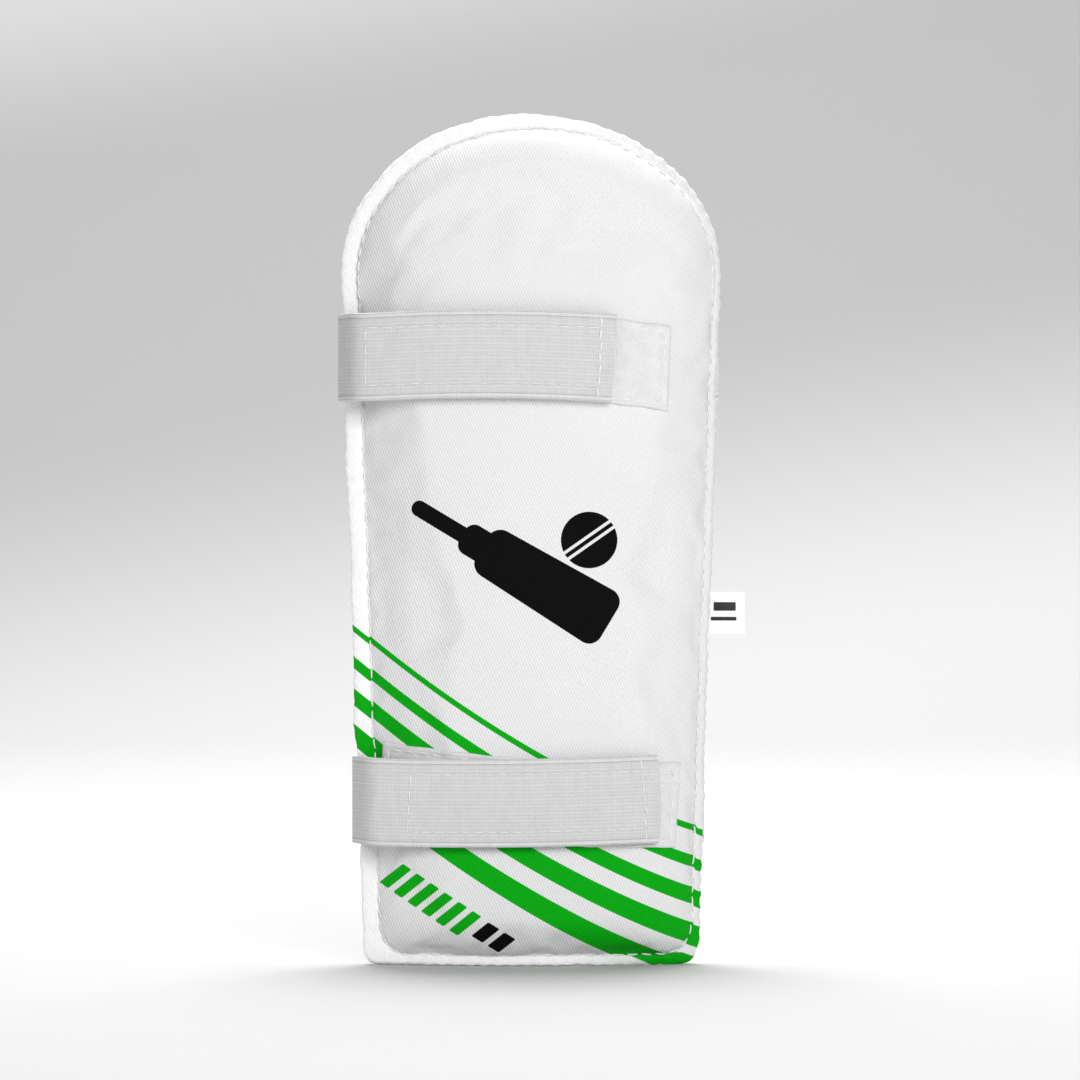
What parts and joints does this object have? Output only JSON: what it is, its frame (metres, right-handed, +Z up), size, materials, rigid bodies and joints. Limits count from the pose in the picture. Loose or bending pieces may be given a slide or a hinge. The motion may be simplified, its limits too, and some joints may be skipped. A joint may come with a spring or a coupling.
{
  "type": "cricket forearm guard",
  "caption": "Curved padded forearm guard for cricket batting: sewn twill cover over a foam core, with elastic straps that close on the front with hook and loop.",
  "frame": {"origin": "middle of the sewn edge's bottom end, at the wrist end that the guard stands on", "axes": "+Z up along the guard towards the domed elbow end, -Y out of the printed front face, +Y towards the arm, +X towards the side with the size label"},
  "size_m": [0.117, 0.0368, 0.242],
  "materials": {
    "cover_twill": "white polyester twill with printed green stripes",
    "lining_cloth": "brushed cotton lining",
    "hd_foam": "closed-cell foam",
    "soft_foam": "open-cell foam",
    "wadding": "polyester wadding",
    "thread": "polyester sewing thread",
    "elastic": "woven ribbed elastic",
    "hook_tape": "nylon hook tape",
    "loop_tape": "brushed loop tape",
    "label_satin": "folded satin ribbon"
  },
  "bodies": {
    "pad": {"front_cover": "cover_twill", "back_lining": "lining_cloth", "hd_foam_core": "hd_foam", "soft_foam_liner": "soft_foam", "wadding_sheet": "wadding", "edge_top_thread": "thread", "edge_bobbin_thread": "thread", "upper_loop_patch": "loop_tape", "upper_patch_thread": "thread", "upper_strap_back": "elastic", "upper_anchor_thread": "thread", "lower_loop_patch": "loop_tape", "lower_patch_thread": "thread", "lower_strap_back": "elastic", "lower_anchor_thread": "thread"},
    "upper_flap": {"upper_strap_front": "elastic", "upper_hook_front": "hook_tape", "upper_front_thread": "thread"},
    "upper_tip": {"upper_strap_tip": "elastic", "upper_hook_tip": "hook_tape", "upper_tip_thread": "thread"},
    "lower_flap": {"lower_strap_front": "elastic", "lower_hook_front": "hook_tape", "lower_front_thread": "thread"},
    "lower_tip": {"lower_strap_tip": "elastic", "lower_hook_tip": "hook_tape", "lower_tip_thread": "thread"},
    "label": {"size_label": "label_satin"}
  },
  "joints": [
    {"name": "upper_strap_open", "type": "hinge", "parent": "pad", "child": "upper_flap", "pos_m": [-0.05552, 0.01526, 0.173], "axis": [0, 0, -1], "range_deg": [0, 165]},
    {"name": "upper_tip_peel", "type": "hinge", "parent": "upper_flap", "child": "upper_tip", "pos_m": [-0.00405, -0.01418, 0.173], "axis": [0, 0, -1], "range_deg": [0, 75]},
    {"name": "lower_strap_open", "type": "hinge", "parent": "pad", "child": "lower_flap", "pos_m": [-0.05136, 0.01293, 0.047], "axis": [0, 0, -1], "range_deg": [0, 165]},
    {"name": "lower_tip_peel", "type": "hinge", "parent": "lower_flap", "child": "lower_tip", "pos_m": [0.0086, -0.01394, 0.047], "axis": [0, 0, -1], "range_deg": [0, 75]},
    {"name": "label_bend", "type": "hinge", "parent": "pad", "child": "label", "pos_m": [0.0515, 0.01335, 0.1], "axis": [0, 0, 1], "range_deg": [-70, 70]}
  ]
}
